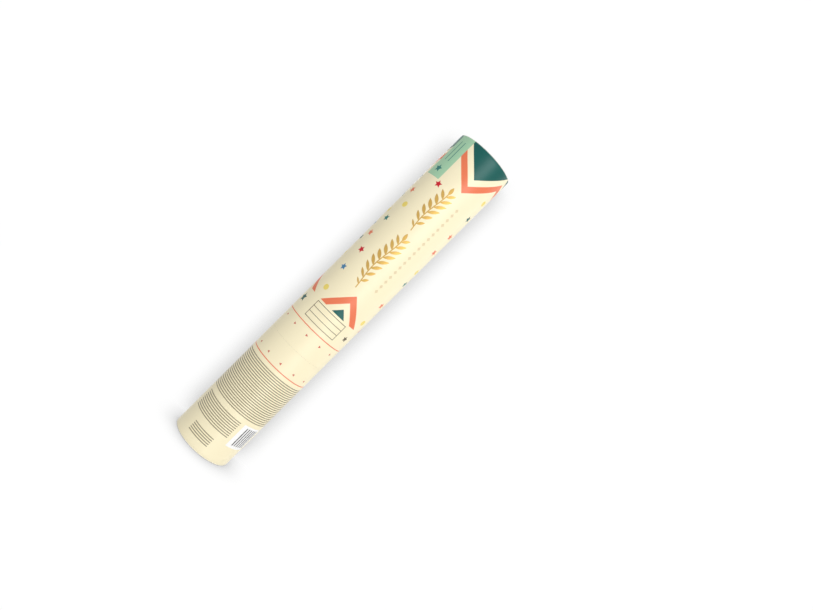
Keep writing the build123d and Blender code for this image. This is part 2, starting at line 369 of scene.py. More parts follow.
def wound_board(name, bottom, top, lead=ply_lead):
    """Spiral-wound grey board: fibres and flecks, a winding seam inside, ply lines on the cut ends."""
    finish, shader, place = new_finish(name, Specular_IOR_Level=0.2)
    x, y, z = (part / MM for part in split(place))
    radius = (x**2 + y**2) ** 0.5
    turns = x.maths("ARCTAN2", x, 0 - y) / math.tau
    fibre = noise(place, 0.5, detail=4.0, stretch=(1.0, 1.0, 0.3))
    mottle = noise(place, 6.0, detail=3.0)
    fleck = clamped(noise(place, 0.9, detail=1.0), gain=9.0, lift=-6.0)
    plies = abs((radius / ply_thickness + fibre * 0.35) % 1.0 - 0.5) * 2
    ends = either(z.maths("GREATER_THAN", z, top - cut_end), z.maths("LESS_THAN", z, bottom + cut_end))
    seam = inside(winding_line(z, turns + mottle * 0.004, lead) - 0.275, soft=0.125) * (1 - ends)
    tone = mixed(fibre * 0.7 + mottle * 0.3, colour(196, 186, 168), colour(160, 148, 128))
    tone = mixed(fleck * 0.5, tone, colour(110, 98, 82))
    tone = mixed(seam * 0.6, tone, colour(120, 108, 90))
    tone = mixed(ends * (1 - plies) * 0.55, tone, colour(122, 108, 88))
    feed(
        shader,
        Base_Color=tone,
        Roughness=0.78 + fibre * 0.16,
        Normal=relief(fibre * 0.5 - seam * 0.8 + ends * plies * 0.6, depth=0.12, strength=0.7),
    )
    return finish


bottle_finish = moulded("bottle_polyester", colour(226, 232, 234), colour(204, 212, 216), 0.2)
liner_bottom, liner_top = sized("bottle_liner")[1:]
seal_finish = rubber("seal_rubber")
dress(bottle_finish, "air_bottle")
dress(seal_finish, "fill_valve")
dress(wound_board("liner_board", liner_bottom, liner_top), "bottle_liner")


# Cam sleeve and retaining ring
# The sleeve is black acetal, snapped on the bottle's neck; its two helical slots lift the cross pin.
# The split ring of white acetal springs into its groove above the bulkhead and keeps the halves together.
works_finish = moulded("works_acetal", colour(238, 238, 234), colour(220, 220, 214), 0.4)
dress(moulded("cam_acetal", colour(52, 54, 58), colour(38, 40, 44), 0.36), "cam_sleeve")
dress(works_finish, "retaining_ring")


# Release plug with its seals and cross pin
# The plug is red nylon with two rubber rings in its grooves, and holds the air in the bottle's neck.
# A pin of drawn steel is pressed across its head and runs in the slots of cam and guide.
def drawn_steel(name):
    """Steel drawn along X: fine lines along the bar and a slightly uneven polish."""
    finish, shader, place = new_finish(name, Metallic=1.0)
    lines, smear = noise(place, 0.25, detail=3.0, stretch=(0.03, 1.0, 1.0)), noise(place, 3.0)
    feed(
        shader,
        Base_Color=mixed(lines, colour(214, 216, 218), colour(176, 178, 182)),
        Roughness=0.2 + lines * 0.16 + smear * 0.1,
        Normal=relief(lines, depth=0.01, strength=0.6),
    )
    return finish


dress(moulded("plug_nylon", colour(222, 66, 50), colour(196, 48, 38), 0.38), "release_plug")
dress(seal_finish, "o_ring_lower", "o_ring_upper")
dress(drawn_steel("pin_steel"), "cross_pin")


# Coupling sleeve, bulkhead with guide sleeve, and wad ring
# The sleeve is an inner tube of wound board, glued into the barrel and running in the grip.
# It carries the moulded bulkhead; a ring of board on top is the seat of the pusher cup.
sleeve_bottom, sleeve_top = sized("coupling_sleeve")[1:]
ring_bottom, ring_top = sized("wad_ring")[1:]
dress(wound_board("sleeve_board", sleeve_bottom, sleeve_top), "coupling_sleeve")
dress(works_finish, "guide_sleeve")
dress(wound_board("ring_board", ring_bottom, ring_top, lead=23.0), "wad_ring")


# Board tubes of grip and barrel
# Both are cut from one spiral-wound tube of grey board, five plies thick, with the cut ends left bare.
# The barrel is glued to the coupling sleeve and the grip turns on it, with a fine gap between the two.
bore, board_corner = 21.0, 0.3
for name, node, body in (("grip_board", "grip_tube", "grip"), ("barrel_board", "barrel_tube", "barrel")):
    board_radius, board_bottom, board_top = sized(node)
    lip = [(bore, board_bottom), (board_radius, board_bottom), (board_radius, board_top), (bore, board_top)]
    finish = wound_board(name, board_bottom, board_top)
    board_tube = shown(name, turned(eased(lip, board_corner, closed=True), closed=True), finish)
    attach(board_tube, body)
    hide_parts(node)


# Pusher cup
# A cup of pressed grey board, open towards the bottle, that fits the bore and stands on the wad ring.
# The air behind it drives the confetti out; its floor has the shallow dimple of the pressing tool.
cup_radius, cup_bottom, cup_top = sized("pusher_cup")
cup_wall, cup_web, cup_corner = 1.0, 2.0, 0.6
dimple_radius, dimple_slope, dimple_depth = 5.0, 2.0, 0.6
cup_inner, cup_floor = cup_radius - cup_wall, cup_top - cup_web
cup_outline = [
    (0, cup_floor),
    (cup_inner, cup_floor),
    (cup_inner, cup_bottom),
    (cup_radius, cup_bottom),
    (cup_radius, cup_top),
    (dimple_radius + dimple_slope, cup_top),
    (dimple_radius, cup_top - dimple_depth),
    (0, cup_top - dimple_depth),
]
pusher = shown(
    "pusher_board_cup",
    turned(eased(cup_outline, cup_corner, closed=False), closed=False),
    wound_board("cup_board", cup_bottom, cup_top, lead=31.0),
)
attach(pusher, "charge")
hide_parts("pusher_cup")


# Tissue confetti
# Five-pointed stars die-cut from coloured tissue, eight colours, poured into the barrel and pressed down.
# They lie flat on the whole, jumbled, bent by their neighbours and by the wall of the bore.
def tissue_star(radius, waist, thickness):
    """One plump star with rounded tips of three points each."""
    outline = []
    for point in range(5):
        for turn, reach in ((-7, 0.95), (0, 1.0), (7, 0.95), (36, waist)):
            angle = math.radians(72 * point + turn)
            outline.append((radius * reach * math.cos(angle) * MM, radius * reach * math.sin(angle) * MM))
    count = len(outline)
    points = [(x, y, side * thickness * MM / 2) for side in (1, -1) for x, y in outline]
    points += [(0, 0, thickness * MM / 2), (0, 0, -thickness * MM / 2)]
    top, bottom = 2 * count, 2 * count + 1
    faces = []
    for n in range(count):
        after = (n + 1) % count
        faces += [(n, after, top), (after + count, n + count, bottom), (n + count, after + count, after, n)]
    mesh = bpy.data.meshes.new("tissue_star")
    mesh.from_pydata(points, [], faces)
    return mesh


def packed_stars():
    """Geometry Nodes tree: stars scattered in a round bore, tilted, crumpled and pressed to its wall."""
    tree = bpy.data.node_groups.new("packed_stars", "GeometryNodeTree")
    face = tree.interface
    face.new_socket("Star", in_out="INPUT", socket_type="NodeSocketGeometry")
    for name in ("Count", "Seed"):
        face.new_socket(name, in_out="INPUT", socket_type="NodeSocketInt")
    for name in ("Foot", "Head", "Reach", "Bore", "Tilt", "Crumple"):
        face.new_socket(name, in_out="INPUT", socket_type="NodeSocketFloat")
    face.new_socket("Tissue", in_out="INPUT", socket_type="NodeSocketMaterial")
    face.new_socket("Charge", in_out="OUTPUT", socket_type="NodeSocketGeometry")
    given = tree.nodes.new("NodeGroupInput").outputs
    star, count, seed, foot, head, reach, bore_limit, tilt, crumple, tissue = (
        Wire(tree, given[n]) for n in range(10)
    )
    index = star.node("GeometryNodeInputIndex", {}, {})

    def drawn(low, high, draw):
        inputs = {2: low, 3: high, "ID": index, "Seed": seed * 10 + draw}
        return star.node("FunctionNodeRandomValue", {"data_type": "FLOAT"}, inputs, 1)

    # scatter
    turn, out = drawn(0.0, math.tau, 1), reach * drawn(0.0, 1.0, 2) ** 0.5
    level = foot + (head - foot) * (index + drawn(0.0, 1.0, 3)) / count
    spot = {"X": out * star.maths("COSINE", turn), "Y": out * star.maths("SINE", turn), "Z": level}
    spot = star.node("ShaderNodeCombineXYZ", {}, spot)
    lean = {"X": tilt * drawn(-1.0, 1.0, 4), "Y": tilt * drawn(-1.0, 1.0, 5), "Z": drawn(0.0, math.tau, 6)}
    lean = star.node("ShaderNodeCombineXYZ", {}, lean)
    lean = star.node("FunctionNodeEulerToRotation", {}, {0: lean})
    points = star.node("GeometryNodePoints", {}, {"Count": count, "Position": spot})
    charge = {"Points": points, "Instance": star, "Rotation": lean}
    charge = star.node("GeometryNodeInstanceOnPoints", {}, charge)
    charge = star.node("GeometryNodeRealizeInstances", {}, {0: charge})

    # crumple
    place = star.node("GeometryNodeInputPosition", {}, {})
    folds_per_metre = 110.0
    bend = {"Vector": place, "Scale": folds_per_metre, "Detail": 1.0}
    bend = star.node("ShaderNodeTexNoise", {}, bend)
    bend = star.node("ShaderNodeCombineXYZ", {}, {"Z": (bend - 0.5) * crumple})
    charge = star.node("GeometryNodeSetPosition", {}, {"Geometry": charge, "Offset": bend})

    # press to the bore, the cup below and the cup above
    x, y, z = split(place)
    press = both(bore_limit / ((x**2 + y**2) ** 0.5 + 1e-9), 1.0)
    held = {"X": x * press, "Y": y * press, "Z": either(both(z, head), foot)}
    held = star.node("ShaderNodeCombineXYZ", {}, held)
    charge = star.node("GeometryNodeSetPosition", {}, {"Geometry": charge, "Position": held})
    charge = star.node("GeometryNodeSetMaterial", {}, {"Geometry": charge, "Material": tissue})
    tree.links.new(charge.socket, tree.nodes.new("NodeGroupOutput").inputs[0])
    return tree


def tissue_paper(name, tone, shade):
    """Thin dyed tissue: cloudy colour, fine fibres, soft creases and a faint sheen."""
    finish, shader, place = new_finish(name, Specular_IOR_Level=0.15, Sheen_Weight=0.15)
    cloud, fibre = noise(place, 3.5, detail=3.0), noise(place, 0.3, detail=3.0, stretch=(0.4, 1.0, 1.0))
    feed(
        shader,
        Base_Color=mixed(cloud * 0.75 + fibre * 0.25, tone, shade),
        Roughness=0.8 + fibre * 0.15,
        Normal=relief(cloud * 0.8 + fibre * 0.2, depth=0.2, strength=0.5),
    )
    return finish


charge_gap, star_count = 0.25, 72
charge_foot, charge_head = cup_top + charge_gap, sized("muzzle_cap")[1] - charge_gap
stars = packed_stars()
for seed, (dye, tone, shade) in enumerate(
    (
        ("red", colour(214, 32, 46), colour(176, 20, 34)),
        ("orange", colour(250, 150, 50), colour(236, 112, 32)),
        ("yellow", colour(250, 226, 92), colour(232, 200, 48)),
        ("green", colour(70, 180, 92), colour(36, 140, 66)),
        ("sky", colour(150, 196, 226), colour(108, 164, 206)),
        ("mint", colour(206, 232, 228), colour(172, 212, 206)),
        ("peach", colour(248, 186, 166), colour(236, 152, 132)),
        ("white", colour(250, 244, 236), colour(232, 222, 208)),
    )
):
    node = "confetti_" + dye
    charge_mesh = grown(
        tissue_star(radius=8.6, waist=0.56, thickness=0.12),
        stars,
        Count=star_count,
        Seed=seed + 1,
        Foot=charge_foot * MM,
        Head=charge_head * MM,
        Reach=12.4 * MM,
        Bore=20.5 * MM,
        Tilt=math.radians(17),
        Crumple=5.0 * MM,
        Tissue=tissue_paper("tissue_" + dye, tone, shade),
    )
    tissue = shown("tissue_stars_" + dye, charge_mesh)
    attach(tissue, "charge")
    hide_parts(node)
    "tissue_" + dye


# Muzzle cup
# A cup of off-white paper pressed into the muzzle to hold the confetti, blown out with it.
# The press leaves a pleated skirt and a raised ring in the floor; it is held by friction alone.
cap_radius, cap_bottom, cap_top = sized("muzzle_cap")
cap_wall, cap_web, cap_bevel, cap_corner = 0.5, 0.7, 0.9, 0.2
fillet_run, fillet_rise = 0.7, 0.6
outer_rows, inner_rows = (0.7, 1.4, 2.1, 2.8, 3.7, 4.9), (1.2, 2.4, 3.3, 4.0, 4.7)
pleat_count, pleat_depth, pleat_start, pleat_run = 48, 0.3, 1.6, 3.0
ring_inner, ring_outer, ring_height, ring_slope = 14.2, 16.6, 0.45, 0.4


def pleat(turn, height):
    """How far the pleats draw the skirt in, deeper towards the rim."""
    rise = min(1.0, max(0.0, (height - cap_bottom - pleat_start) / pleat_run))
    return -pleat_depth * rise * (0.5 - 0.5 * math.cos(pleat_count * turn))


def cup_paper(name):
    """Uncoated paper: fibres and a soft mottle."""
    finish, shader, place = new_finish(name, Specular_IOR_Level=0.2)
    mottle, fibre = noise(place, 4.0, detail=3.0), noise(place, 0.25, detail=3.0)
    feed(
        shader,
        Base_Color=mixed(mottle * 0.6 + fibre * 0.4, colour(248, 244, 232), colour(226, 218, 200)),
        Roughness=0.74 + fibre * 0.18,
        Normal=relief(fibre * 0.6 + mottle * 0.4, depth=0.08, strength=0.6),
    )
    return finish


cap_inner, cap_floor = cap_radius - cap_wall, cap_bottom + cap_web
cap_outline = [
    (0, cap_bottom),
    (cap_radius - cap_bevel, cap_bottom),
    (cap_radius, cap_bottom + cap_bevel),
    *((cap_radius, cap_bottom + cap_bevel + rise) for rise in outer_rows),
    (cap_radius, cap_top),
    (cap_inner, cap_top),
    *((cap_inner, cap_top - drop) for drop in inner_rows),
    (cap_inner, cap_floor + fillet_rise),
    (cap_inner - fillet_run, cap_floor),
    (ring_outer, cap_floor),
    (ring_outer - ring_slope, cap_floor + ring_height),
    (ring_inner + ring_slope, cap_floor + ring_height),
    (ring_inner, cap_floor),
    (0, cap_floor),
]
cap_mesh = turned(eased(cap_outline, cap_corner, closed=False), closed=False, wave=pleat, steps=384)
muzzle_cup = shown("muzzle_paper_cup", cap_mesh, cup_paper("cup_paper"))
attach(muzzle_cup, "charge")
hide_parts("muzzle_cap")


# Printed paper on barrel and grip
# One sheet of satin-coated paper, printed in spot colours, pasted round the board tube with a lap at the
# back and cut through at the twist seam. Chevrons and stars on the barrel, fine rules on the grip.
paper_radius, paste, lap_step, lap_width, lap_ramp = 23.15, 0.05, 0.1, 8.0, 1.2
girth = math.tau * paper_radius
board_radius = sized("barrel_tube")[0]
COLUMNS, ROW, EDGE_ROW = 240, 2.5, 0.08
STAR, DOT, ARROW, AWAY = 0.0, 1.0, 2.0, 9.0
cream = colour(253, 243, 208)
coral = colour(237, 126, 89)
forest = colour(17, 90, 84)
red = colour(206, 34, 50)
blue = colour(78, 136, 176)
teal = colour(52, 130, 122)
lemon = colour(244, 222, 118)
mint = colour(171, 215, 179)
brown = colour(92, 82, 60)
gold = colour(198, 160, 82)
rust = colour(206, 102, 82)


def pasted_sheet(bottom, top, open_end):
    """Points and faces of the sheet with its lap and cut edges. For each face there is also a cell with its
    corners as (turn, height), or None for the faces that carry no print."""
    turns = [-math.pi + math.tau * n / COLUMNS for n in range(COLUMNS + 1)]
    rows = max(2, round((top - bottom) / ROW))
    heights = [bottom + (top - bottom) * n / rows for n in range(rows + 1)]
    heights[1:1], heights[-1:-1] = [bottom + EDGE_ROW], [top - EDGE_ROW]
    points, faces, cells, grid = [], [], [], []

    def add(radius, turn, height):
        points.append((radius * math.sin(turn) * MM, -radius * math.cos(turn) * MM, height * MM))
        return len(points) - 1

    for height in heights:
        rubbed = paste if height == open_end else 0.0
        line = []
        for turn in turns:
            lap = min(1.0, max(0.0, ((turn - math.pi) * paper_radius + lap_width) / lap_ramp))
            line.append(add(paper_radius + lap_step * lap - rubbed, turn, height))
        grid.append(line)
    back = [[add(board_radius + paste, turn, height) for turn in turns[:-1]] for height in (bottom, top)]
    for low, high, z0, z1 in zip(grid, grid[1:], heights, heights[1:]):
        for n in range(COLUMNS):
            faces.append((low[n], low[n + 1], high[n + 1], high[n]))
            cells.append(((turns[n], z0), (turns[n + 1], z0), (turns[n + 1], z1), (turns[n], z1)))
        faces.append((low[COLUMNS], low[0], high[0], high[COLUMNS]))
        cells.append(None)
    for n in range(COLUMNS):
        after = (n + 1) % COLUMNS
        faces.append((back[0][after], back[0][n], back[1][n], back[1][after]))
        faces.append((grid[0][n + 1], grid[0][n], back[0][n], back[0][after]))
        faces.append((grid[-1][n], grid[-1][n + 1], back[1][after], back[1][n]))
    faces.append((grid[0][0], grid[0][COLUMNS], back[0][0]))
    faces.append((grid[-1][COLUMNS], grid[-1][0], back[1][0]))
    cells += [None] * (len(faces) - len(cells))
    return points, faces, cells


def motif_on(cell, motifs):
    """The motif that a face of the sheet carries, if any."""
    turn, height = ((cell[0][axis] + cell[2][axis]) / 2 for axis in (0, 1))
    row_margin, column_margin, found = 1.4, 0.4, None
    for motif in motifs:
        angle, level, size = motif[2:5]
        across = (turn - math.radians(angle)) * paper_radius
        if abs(height - level) < size + row_margin and abs(across) < size + column_margin:
            found = motif
    return found


def printed_sheet(name, bottom, top, open_end, motifs):
    """The sheet, laid out flat for baking. Each face near a motif holds its place on that motif, in units of
    the motif's size, and the motif's ink."""
    points, faces, cells = pasted_sheet(bottom, top, open_end)
    places, inks, chart, plain, plain_count = [], [], [], 0, cells.count(None)
    plain_foot, plain_tall, plain_wide = 0.004, 0.0096, 0.8
    chart_side, chart_foot, chart_head = 0.01, 0.03, 0.99
    for face, cell in zip(faces, cells):
        if cell is None:
            places += [AWAY, AWAY, STAR] * len(face)
            inks += cream * len(face)
            for u, v in ((0, 0), (1, 0), (1, 1), (0, 1))[: len(face)]:
                chart += [(plain + u * plain_wide) / plain_count, plain_foot + plain_tall * v]
            plain += 1
            continue
        motif = motif_on(cell, motifs)
        for turn, height in cell:
            round_share, up_share = turn / math.tau + 0.5, (height - bottom) / (top - bottom)
            chart += [
                chart_side + (1 - 2 * chart_side) * round_share,
                chart_foot + (chart_head - chart_foot) * up_share,
            ]
            if motif is None:
                places += [AWAY, AWAY, STAR]
                inks += cream
                continue
            kind, ink, angle, level, size, tilt = motif
            u, v = (turn - math.radians(angle)) * paper_radius / size, (height - level) / size
            cosine, sine = math.cos(math.radians(tilt)), math.sin(math.radians(tilt))
            places += [u * cosine + v * sine, v * cosine - u * sine, kind]
            inks += ink
    mesh = bpy.data.meshes.new(name)
    mesh.from_pydata(points, [], faces)
    mesh.attributes.new("motif_place", "FLOAT_VECTOR", "CORNER").data.foreach_set("vector", places)
    mesh.attributes.new("motif_ink", "FLOAT_COLOR", "CORNER").data.foreach_set("color", inks)
    mesh.uv_layers.new(name="OFBake").uv.foreach_set("vector", chart)
    return mesh


def around(along, middle):
    """Distance round the tube from a line on the sheet, left of it below zero."""
    return (along - middle + girth / 2) % girth - girth / 2


def band(value, middle, half_width, soft=0.06):
    """1 within a half width of a line, with a printed edge."""
    return inside(abs(value - middle) - half_width, soft)


def panel(along, height, left, right, low, high):
    """Distance to the edge of an upright panel on the unrolled sheet, below zero inside."""
    wide = abs(along - (left + right) / 2) - (right - left) / 2
    return either(wide, abs(height - (low + high) / 2) - (high - low) / 2)


def printed_motif(place):
    """The stars, dots and arrow heads that the sheet's faces hold, as a mask and an ink."""
    spot = place.node("ShaderNodeAttribute", {"attribute_name": "motif_place"}, {}, "Vector")
    ink = place.node("ShaderNodeAttribute", {"attribute_name": "motif_ink"}, {}, "Color")
    u, v, kind = split(spot)
    reach = (u * u + v * v) ** 0.5
    waist, dot_radius, arrow_back, arrow_tip, arrow_slope = 0.5, 0.92, 0.7, 0.9, 0.55
    slant = math.atan2(1 - waist * math.cos(math.pi / 5), waist * math.sin(math.pi / 5))
    fold = abs((place.maths("ARCTAN2", u, v) + math.pi / 5) % (math.tau / 5) - math.pi / 5)
    star = reach * place.maths("COSINE", fold - slant) - math.cos(slant)
    arrow = either(-arrow_back - u, abs(v) - (arrow_tip - u) * arrow_slope)
    dot = reach - dot_radius
    shape = star + (dot - star) * place.maths("GREATER_THAN", kind, (STAR + DOT) / 2)
    shape = shape + (arrow - shape) * place.maths("GREATER_THAN", kind, (DOT + ARROW) / 2)
    return inside(shape, soft=0.03), ink


def satin_paper(name, open_end):
    """Coated paper before printing: its material, its place, the place unrolled, a cream tone with a faint
    mottle, and a function that prints a tone and any foil on it."""
    finish, shader, place = new_finish(name, Specular_IOR_Level=0.2)
    x, y, height = (part / MM for part in split(place))
    along = x.maths("ARCTAN2", x, 0 - y) * paper_radius
    mottle = noise(place, 14.0, detail=3.0)
    ridge = inside(winding_line(height, along / girth, ply_lead) - 0.7, soft=0.6)
    tooth = noise(place, 0.4) * 0.5 - ridge
    worn = band(height, open_end, 0.32, soft=0.15) * (noise(place, 1.6, detail=3.0) * 0.6 + 0.5)
    tone = mixed(mottle * 0.5 + tooth * 0.1 + 0.1, cream, colour(250, 238, 202))

    def press(printed, foil=None):
        """Feeds the shader: a satin coat, worn at the cut edge, the board's winding, and any foil."""
        roughness = 0.34 + mottle * 0.06 + tooth * 0.06 + worn * 0.25
        bump = tooth + mottle * 0.5
        if foil is not None:
            roughness, bump = roughness + foil * 0.04, bump + foil * 0.8
            feed(shader, Metallic=foil * 0.3)
        feed(
            shader,
            Base_Color=mixed(worn * 0.8, printed, colour(250, 247, 238)),
            Roughness=roughness,
            Normal=relief(bump, depth=0.025, strength=0.5),
        )

    return finish, place, along, height, tone, press


def chevron_row(along, middle, pitch, left, right):
    """How far the arms of three chevrons in a row have risen from the tip, with the slope of each arm."""
    across = around(along, middle)
    number = across.maths("FLOOR", across / pitch + right / (left + right))
    across = across - both(either(number, -1.0), 1.0) * pitch
    return either(across * right, across * -left)


def laurel_sprigs(beside, height, lower_sprig, upper_sprig):
    """Two sprigs one above the other: a swaying stem, leaves by turns on both sides and one at the tip."""
    leaf_pitch, leaf_length, leaf_width, lean = 5.3, 8.6, 1.25, math.radians(46)
    stem_half_width, stem_sway, stem_wave, stem_end = 0.38, 1.1, 46.0, 0.6
    offset = beside - height.maths("SINE", height * (math.tau / stem_wave)) * stem_sway
    reach = abs(offset)
    shift = height.maths("GREATER_THAN", offset, 0.0) * (leaf_pitch / 2)
    level = height - reach / math.tan(lean) + shift
    rung = level % leaf_pitch - leaf_pitch / 2
    sprigs = []
    for foot_end, head_end in (lower_sprig, upper_sprig):
        half, middle = (head_end - foot_end) / 2, (head_end + foot_end) / 2
        share = (level - rung - shift - foot_end) / (2 * half)
        swell = either(share * (1.15 - share) * 3, 0.0) ** 0.35
        out = (reach / math.sin(lean) + rung * math.cos(lean)) / (swell * leaf_length + 0.01)
        leaf = abs(rung) * math.sin(lean) - swell * out * (1 - out) * (4 * leaf_width)
        leaves = both(both(inside(leaf), inside(out - 1, soft=0.02)), band(share, 0.5, 0.5, soft=0.01))
        rise = (height - head_end) / (leaf_length * 0.75)
        tip_leaf = inside(reach - rise * (1 - rise) * (4 * leaf_width))
        tip_leaf = both(tip_leaf, band(rise, 0.5, 0.5, soft=0.01))
        stem = both(inside(reach - stem_half_width), band(height, middle, half + stem_end))
        sprigs.append(either(either(leaves, tip_leaf), stem))
    return either(*sprigs)


# barrel print
barrel_bottom, barrel_top = (corner.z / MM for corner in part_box("barrel_wrap"))
seam_overhang = 0.1
star_size, dot_size, arrow_size, arrow_pitch, arrow_count = 2.8, 2.4, 1.1, 30, 11
mirror_line, mirror_tilt = -80, 40
side_turn, side_sway, side_top, side_pitch, side_tilt = 97, 4, 243, 13.5, 40
front_and_back = [
    (STAR, red, -27, 241.7, 12), (STAR, coral, -62, 228, -20), (DOT, lemon, -47, 216.7, 0),
    (STAR, teal, -57, 201.7, 25), (STAR, coral, -60, 187, 5), (STAR, red, -44, 174.3, -15),
    (STAR, blue, -45, 157.6, 20), (STAR, forest, 66, 241, 30), (STAR, coral, 65, 223.4, 10),
    (STAR, coral, 64, 208, -25), (DOT, lemon, 72, 190, 0), (STAR, teal, 73, 178.3, 15),
    (STAR, coral, 66, 156.3, 0),
]
single_motifs = [
    (DOT, lemon, -40, 139.5, 0), (DOT, lemon, 62, 139, 0), (DOT, lemon, -169, 139.5, 0),
    (DOT, lemon, 65, 256, 0), (DOT, lemon, -169, 256, 0), (STAR, forest, -84, 240, 0),
    (STAR, teal, -84, 222, 20), (DOT, lemon, -76, 207.5, 0), (STAR, blue, -83, 194.5, -10),
    (STAR, forest, -77, 180.5, 30), (DOT, lemon, -82, 165.5, 0),
]
scattered = front_and_back + single_motifs
for kind, ink, angle, level, tilt in front_and_back:
    mirrored = (2 * mirror_line - angle + 180) % 360 - 180
    scattered.append((kind, ink, mirrored, level, tilt + mirror_tilt))
for n, ink in enumerate((teal, coral, lemon, red, blue, coral, lemon, forest)):
    kind = DOT if ink is lemon else STAR
    angle, level = side_turn + side_sway * (n % 3), side_top - side_pitch * n
    scattered.append((kind, ink, angle, level, side_tilt * n))
barrel_motifs = [
    (kind, ink, angle, level, star_size if kind == STAR else dot_size, tilt)
    for kind, ink, angle, level, tilt in scattered
]
barrel_motifs += [
    (ARROW, rust, arrow_pitch * n - 152, 107.6, arrow_size, 0)
    for n in range(arrow_count)
]
barrel_motifs += [
    (STAR, teal, -52, 250.5, 3.2, 0),
    (STAR, forest, -66, 123.4, 3.8, 10),
    (STAR, brown, 57, 122.6, 2.6, -8),
]

finish, place, along, height, tone, press = satin_paper("barrel_print", barrel_top)

top_row = height - chevron_row(along, middle=4.7, pitch=42.6, left=0.98, right=0.94)
coral_low, coral_high, forest_low = 248.0, 254.1, 260.0
tone = mixed(both(inside(coral_low - top_row), inside(top_row - coral_high)), tone, coral)
tone = mixed(inside(forest_low - top_row), tone, forest)

low_row = height + chevron_row(along, middle=4.5, pitch=43.0, left=1.08, right=1.02)
forest_high, coral_low, coral_high, row_foot = 137.3, 143.2, 149.7, 131.4
low_coral = both(inside(coral_low - low_row), inside(low_row - coral_high))
above_foot = inside(row_foot - height)
tone = mixed(both(low_coral, above_foot), tone, coral)
tone = mixed(both(inside(low_row - forest_high), above_foot), tone, forest)

label = panel(along, height, left=-27.8, right=-13.6, low=244.0, high=290.0)
tone = mixed(inside(label), tone, mint)
rules_middle, rules_apart, rule_half_width = -21.0, 1.9, 0.36
fine_rules = band(abs(along - rules_middle), rules_apart, rule_half_width)
fine_rules = both(fine_rules, band(height, middle=266.5, half_width=8.5))
tone = mixed(fine_rules * 0.85, tone, teal)

table_frame = panel(along, height, left=-12.6, right=14.4, low=116.9, high=129.5)
rows_middle, rows_apart, row_half_width = 123.15, 2.15, 0.22
table_rows = band(abs(height - rows_middle), rows_apart, row_half_width)
table_rows = both(table_rows, band(along, middle=0.9, half_width=13.5))
tone = mixed(either(inside(abs(table_frame) - 0.24), table_rows) * 0.9, tone, brown)

ring_half_width = 0.33
tone = mixed(band(height, 112.8, ring_half_width), tone, coral)

sprig_from_mirror, diamonds_from_sprig, diamond_pitch, diamond_size = 30.7, 13.4, 4.5, 1.3
diamonds_low, diamonds_high = 159.0, 240.0
beside = abs(around(along, math.radians(mirror_line) * paper_radius)) - sprig_from_mirror
upward = abs((height - diamonds_low) % diamond_pitch - diamond_pitch / 2)
diamonds = inside(upward * 0.8 + abs(beside - diamonds_from_sprig) - diamond_size)
row_middle, row_half = (diamonds_low + diamonds_high) / 2, (diamonds_high - diamonds_low) / 2
diamonds = both(diamonds, band(height, row_middle, row_half))
tone = mixed(diamonds * 0.75, tone, colour(226, 206, 164))
foil = laurel_sprigs(beside, height, lower_sprig=(154.0, 197.0), upper_sprig=(207.0, 240.5))
tone = mixed(foil, tone, gold)

motif, ink = printed_motif(place)
press(mixed(motif, tone, ink), foil)
barrel_sheet = printed_sheet(
    "barrel_sheet", barrel_bottom - seam_overhang, barrel_top, open_end=barrel_top, motifs=barrel_motifs
)
barrel_paper = shown("barrel_paper", barrel_sheet, finish)
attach(barrel_paper, "barrel")
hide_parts("barrel_wrap")

# grip print
grip_bottom, grip_top = 0.05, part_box("grip_wrap")[1].z / MM
grip_motifs = [
    (ARROW, rust, arrow_pitch * n - 150, 81.8, arrow_size, 180)
    for n in range(arrow_count)
]
finish, place, along, height, tone, press = satin_paper("grip_print", grip_bottom)
tone = mixed(band(height, 77.3, ring_half_width), tone, coral)

stripe_start, stripe_pitch, stripe_half_width = 38.0, 1.65, 0.34
pinstripe = (height - stripe_start) % stripe_pitch
pinstripe = band(pinstripe, stripe_pitch / 2, stripe_half_width, soft=0.05)
upper_block = band(height, middle=56.1, half_width=18.1)
lower_block = inside(panel(along, height, left=-26.5, right=10.2, low=20.0, high=34.9))
third_block = inside(panel(along, height, left=-14.0, right=4.5, low=6.65, high=14.9))
blocks = either(upper_block, either(lower_block, third_block))
tone = mixed(both(pinstripe, blocks) * 0.8, tone, brown)

white_panel = inside(panel(along, height, left=13.4, right=30.5, low=15.5, high=35.0))
tone = mixed(white_panel, tone, colour(253, 253, 252))
bars_left, bars_right, bar_pitch, bar_half_width = 16.4, 29.6, 2.2, 0.55
bars = band((along - bars_left) % bar_pitch, bar_pitch / 2, bar_half_width, soft=0.05)
bars = both(bars, inside(panel(along, height, bars_left, bars_right, low=17.6, high=33.4)))
tone = mixed(bars * 0.85, tone, colour(58, 56, 58))

motif, ink = printed_motif(place)
press(mixed(motif, tone, ink))
grip_sheet = printed_sheet("grip_sheet", grip_bottom, grip_top, open_end=grip_bottom, motifs=grip_motifs)
grip_paper = shown("grip_paper", grip_sheet, finish)
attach(grip_paper, "grip")
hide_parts("grip_wrap")


# Studio
# A pale floor a hair under the foot and a pale sheet close behind the tube, folded along its middle, are
# white to the camera but for the tube's soft shadow: a faint real shadow, and a painted shadow where their
# glow is darkened by ambient occlusion near the tube. Three soft lamps and an even sky light the tube, and
# a tall strip at the front right shows only as sheen on the paper.
floor_level, stage_reach = -0.0001, 3.0
wall_distance, wall_slope, fold_reach = 0.0245, 0.08, 0.022
# Reach, strength and fade of the painted shadow: the stage's glow darkened by ambient occlusion near the
# tube.
painted_shadow_reach, painted_shadow_strength, painted_shadow_fade, floor_limit, wall_limit = 0.0235, 1.6, 1.9, 0.75, 0.35


